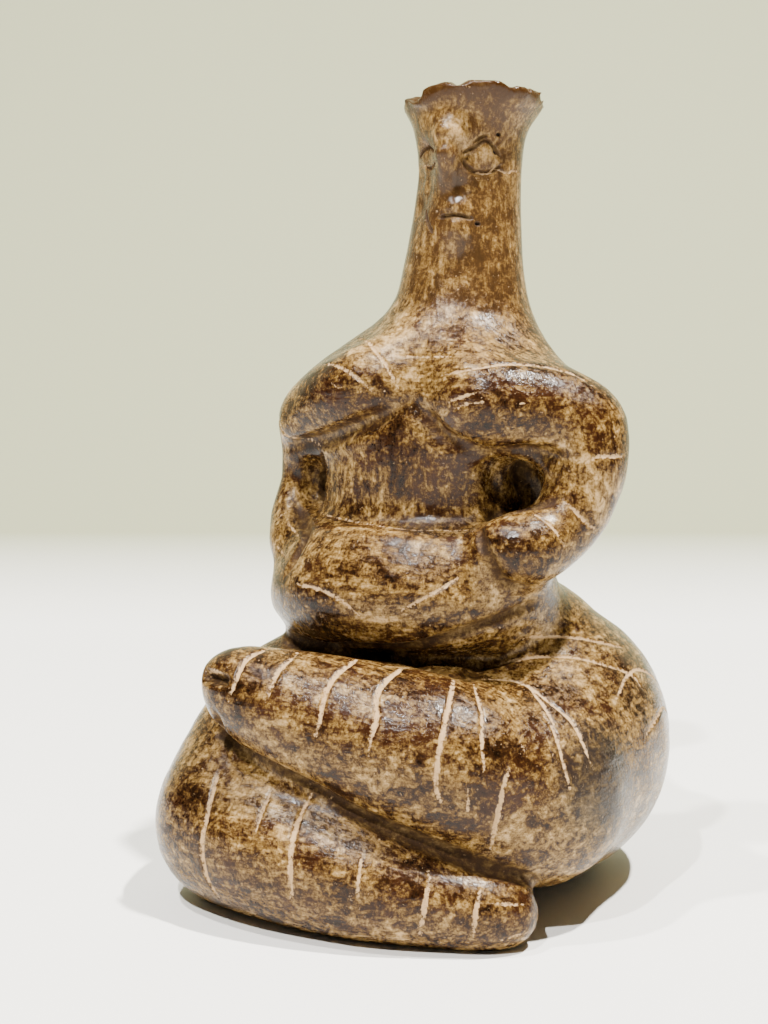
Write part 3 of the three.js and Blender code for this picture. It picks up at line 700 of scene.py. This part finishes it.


# Low-fired earthenware under an iron slip, rubbed with a pebble before firing. To the eye: a low
# shine in streaks where the dark slip is left, duller cream clay where it has worn off, and matt,
# powdery clay in the cuts. Painted shade darkens its hollows, creases and deepest cuts.
def burnishedClay():
    material = bpy.data.materials.new("burnishedClay")
    material.use_nodes = True
    tree = material.node_tree
    tree.nodes.clear()
    metres = addNode(tree, "ShaderNodeTexCoord", {}).outputs["Object"]
    sockets = {0: metres, 1: [1 / mm] * 3}
    place = addNode(tree, "ShaderNodeVectorMath", sockets, operation="MULTIPLY").outputs[0]
    fields = {"height": addNode(tree, "ShaderNodeSeparateXYZ", {0: place}).outputs["Z"]}
    for name in ("inside", "cavity", "fill", "crease", "slipAndFaceShading", "soot", "rim"):
        fields[name] = addNode(tree, "ShaderNodeAttribute", {}, attribute_name=name).outputs["Fac"]
    for name, (size, detail, rough, distortion) in clay["noises"].items():
        sockets = {"Vector": place, "Scale": 1 / size, "Detail": detail, "Roughness": rough}
        sockets["Distortion"] = distortion
        fields[name] = addNode(tree, "ShaderNodeTexNoise", sockets).outputs["Fac"]

    # Streaks run with the limb: a noise drawn out along each axis, shared by the limb's direction.
    runs = addNode(tree, "ShaderNodeAttribute", {}, attribute_name="runs").outputs["Vector"]
    shares = addNode(tree, "ShaderNodeSeparateXYZ", {0: runs}).outputs
    for name, (size, detail, rough, distortion) in clay["streaks"].items():
        fields[name] = 0.0
        for axis in range(3):
            stretch = [1 / mm] * 3
            stretch[axis] = clay["streakStretch"] / mm
            sockets = {0: metres, 1: stretch}
            drawnOut = addNode(tree, "ShaderNodeVectorMath", sockets, operation="MULTIPLY").outputs[0]
            sockets = {"Vector": drawnOut, "Scale": 1 / size, "Detail": detail, "Roughness": rough}
            sockets["Distortion"] = distortion
            grain = addNode(tree, "ShaderNodeTexNoise", sockets).outputs["Fac"]
            sockets = {0: grain, 1: shares[axis], 2: fields[name]}
            fields[name] = addNode(tree, "ShaderNodeMath", sockets, operation="MULTIPLY_ADD").outputs[0]

    # The pale fill crumbles at its edges.
    sockets = {0: fields["frayed"], 1: 0.5}
    frayed = addNode(tree, "ShaderNodeMath", sockets, operation="SUBTRACT").outputs[0]
    sockets = {0: frayed, 1: clay["fillFray"], 2: fields["fill"]}
    fields["frayedFill"] = addNode(tree, "ShaderNodeMath", sockets, operation="MULTIPLY_ADD").outputs[0]

    for name, (field, fray, low, high) in clay["masks"].items():
        sockets = {0: fields["medium"], 1: fray, 2: fields[field]}
        level = addNode(tree, "ShaderNodeMath", sockets, operation="MULTIPLY_ADD").outputs[0]
        sockets = {"Value": level, "From Min": low, "From Max": high}
        mask = addNode(tree, "ShaderNodeMapRange", sockets, interpolation_type="SMOOTHSTEP")
        fields[name] = mask.outputs[0]

    # How thick the slip lies, setting the colour from bare cream clay to dark slip; on the face it also
    # carries painted light and shade.
    cover = 0.0
    for name, share in clay["cover"].items():
        sockets = {0: fields[name], 1: share, 2: cover}
        cover = addNode(tree, "ShaderNodeMath", sockets, operation="MULTIPLY_ADD").outputs[0]
    ramp = addNode(tree, "ShaderNodeValToRGB", {"Fac": cover})
    stops = ramp.color_ramp.elements
    stops[0].position = clay["coverFrom"]
    stops[0].color = linear(clay["cream"])
    stops[1].position = clay["coverTo"]
    stops[1].color = linear(clay["slipDark"])
    for name, share in clay["coverStops"].items():
        stop = stops.new(clay["coverFrom"] + share * (clay["coverTo"] - clay["coverFrom"]))
        stop.color = linear(clay[name])
    sockets = {"Value": cover, "From Min": clay["thickFrom"], "From Max": clay["thickTo"]}
    mask = addNode(tree, "ShaderNodeMapRange", sockets, interpolation_type="SMOOTHSTEP")
    fields["thick"] = mask.outputs[0]
    sockets = {0: fields["redPatch"], 1: fields["thick"]}
    fields["reddish"] = addNode(tree, "ShaderNodeMath", sockets, operation="MULTIPLY").outputs[0]

    colour = ramp.outputs["Color"]
    for name, (share, tint) in clay["layers"].items():
        sockets = {0: fields[name], 1: share}
        amount = addNode(tree, "ShaderNodeMath", sockets, operation="MULTIPLY").outputs[0]
        sockets = {0: amount, 6: colour, 7: linear(clay[tint])}
        colour = addNode(tree, "ShaderNodeMix", sockets, data_type="RGBA").outputs[2]

    # Slip is smoother than bare clay, and cuts and creases are dull.
    sockets = {0: fields["thick"], 1: clay["slipRough"] - clay["clayRough"], 2: clay["clayRough"]}
    rough = addNode(tree, "ShaderNodeMath", sockets, operation="MULTIPLY_ADD").outputs[0]
    sockets = {0: fields["medium"], 1: 0.5}
    spread = addNode(tree, "ShaderNodeMath", sockets, operation="SUBTRACT").outputs[0]
    sockets = {0: spread, 1: clay["roughFray"], 2: rough}
    rough = addNode(tree, "ShaderNodeMath", sockets, operation="MULTIPLY_ADD").outputs[0]
    sockets = {0: fields["filled"], 1: fields["creaseShade"]}
    dull = addNode(tree, "ShaderNodeMath", sockets, operation="MAXIMUM").outputs[0]
    sockets = {0: clay["fillRough"], 1: rough}
    rise = addNode(tree, "ShaderNodeMath", sockets, operation="SUBTRACT").outputs[0]
    sockets = {0: rise, 1: dull, 2: rough}
    rough = addNode(tree, "ShaderNodeMath", sockets, operation="MULTIPLY_ADD").outputs[0]

    relief = 0.0
    for name, height in clay["relief"].items():
        sockets = {0: fields[name], 1: height, 2: relief}
        relief = addNode(tree, "ShaderNodeMath", sockets, operation="MULTIPLY_ADD").outputs[0]
    sockets = {"Height": relief, "Strength": clay["reliefStrength"], "Distance": mm}
    bump = addNode(tree, "ShaderNodeBump", sockets)
    sockets = {"Base Color": colour, "Roughness": rough, "Normal": bump.outputs["Normal"]}
    surface = addNode(tree, "ShaderNodeBsdfPrincipled", sockets)
    surface.inputs["Specular IOR Level"].default_value = clay["specular"]
    addNode(tree, "ShaderNodeOutputMaterial", {"Surface": surface.outputs["BSDF"]})
    return material


vessel.data.materials.clear()
vessel.data.materials.append(burnishedClay())
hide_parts("vessel")
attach(vessel, "root")

print("stage")
# Lengths in metres. The floor bends up into the backdrop behind the figure.
stage = {
    "turn": 28,
    "half": 1.2,
    "behind": 0.22,
    "bend": 0.35,
    "bendSteps": 16,
    "tall": 1.2,
    "floor": "#eeeeec",
    "wall": "#989b80",
    "rampHeight": 0.1,
    "floorStop": 0.02,
    "wallStop": 0.25,
    "rough": 0.85,
    "specular": 0.17,
}


# Matt emulsion paint, rolled on: one pale, even tone without a reflection, turning darker up the
# bend so that the figure stands out.
def paintedWall():
    material = bpy.data.materials.new("paintedWall")
    material.use_nodes = True
    tree = material.node_tree
    surface = tree.nodes["Principled BSDF"]
    surface.inputs["Roughness"].default_value = stage["rough"]
    surface.inputs["Specular IOR Level"].default_value = stage["specular"]
    place = addNode(tree, "ShaderNodeTexCoord", {})
    split = addNode(tree, "ShaderNodeSeparateXYZ", {0: place.outputs["Object"]})
    sockets = {0: split.outputs["Z"], 1: 1 / stage["rampHeight"]}
    height = addNode(tree, "ShaderNodeMath", sockets, operation="MULTIPLY")
    ramp = addNode(tree, "ShaderNodeValToRGB", {"Fac": height.outputs[0]})
    stops = ramp.color_ramp.elements
    stops[0].position = stage["floorStop"]
    stops[0].color = linear(stage["floor"])
    stops[1].position = stage["wallStop"]
    stops[1].color = linear(stage["wall"])
    tree.links.new(ramp.outputs["Color"], surface.inputs["Base Color"])
    return material


def sweep():
    turn = math.radians(stage["turn"])
    away = np.array([-math.sin(turn), math.cos(turn)])
    side = np.array([math.cos(turn), math.sin(turn)])
    profile = [(-stage["half"], 0.0), (stage["behind"], 0.0)]
    for k in range(1, stage["bendSteps"] + 1):
        angle = k / stage["bendSteps"] * math.pi / 2
        profile.append((stage["behind"] + stage["bend"] * math.sin(angle),
                        stage["bend"] * (1 - math.cos(angle))))
    profile.append((stage["behind"] + stage["bend"], stage["tall"]))
    points = []
    for s in (-stage["half"], stage["half"]):
        for back, up in profile:
            points.append((*(away * back + side * s), up))
    count = len(profile)
    faces = [(i, i + 1, count + i + 1, count + i) for i in range(count - 1)]
    mesh = bpy.data.meshes.new("backdrop")
    mesh.from_pydata(points, [], faces)
    piece = bpy.data.objects.new("backdrop", mesh)
    bpy.context.collection.objects.link(piece)
    selectOnly(piece)
    bpy.ops.object.shade_smooth()
    mesh.materials.append(paintedWall())
    return piece


sweep()

lights = {
    "spotRight": {"at": (0.42, 0.05, 1.2), "size": 0.05, "watts": 50, "colour": (1, 0.95, 0.87)},
    "spotLeft": {"at": (-0.35, -0.45, 1.35), "size": 0.05, "watts": 24, "colour": (1, 0.96, 0.9)},
    "spotFront": {"at": (0.02, -0.7, 1.0), "size": 0.03, "watts": 20, "colour": (1, 0.97, 0.93)},
    "ceiling": {"at": (0, -0.1, 1.6), "size": 1.6, "watts": 2, "colour": (0.96, 1, 0.97)},
}
lightTarget = (0, 0, 0.06)
room = {"colour": "#dfe3d4", "strength": 0.07}
view = {"at": (0.1203, -0.2577, 0.0968), "down": 5.72, "turn": 28, "lens": 54.07, "near": 0.01}

for name, lamp in lights.items():
    bpy.ops.object.light_add(type="AREA", location=lamp["at"])
    light = bpy.context.active_object
    light.name = name
    light.data.shape = "DISK"
    light.data.size = lamp["size"]
    light.data.energy = lamp["watts"]
    light.data.color = lamp["colour"]
    toward = Vector(lightTarget) - Vector(lamp["at"])
    light.rotation_euler = toward.to_track_quat("-Z", "Y").to_euler()

world = bpy.data.worlds.new("room")
world.use_nodes = True
world.node_tree.nodes["Background"].inputs[0].default_value = linear(room["colour"])
world.node_tree.nodes["Background"].inputs[1].default_value = room["strength"]
bpy.context.scene.world = world

aim = (math.radians(90 - view["down"]), 0, math.radians(view["turn"]))
bpy.ops.object.camera_add(location=view["at"], rotation=aim)
camera = bpy.context.active_object
camera.data.lens = view["lens"]
camera.data.clip_start = view["near"]
bpy.context.scene.camera = camera
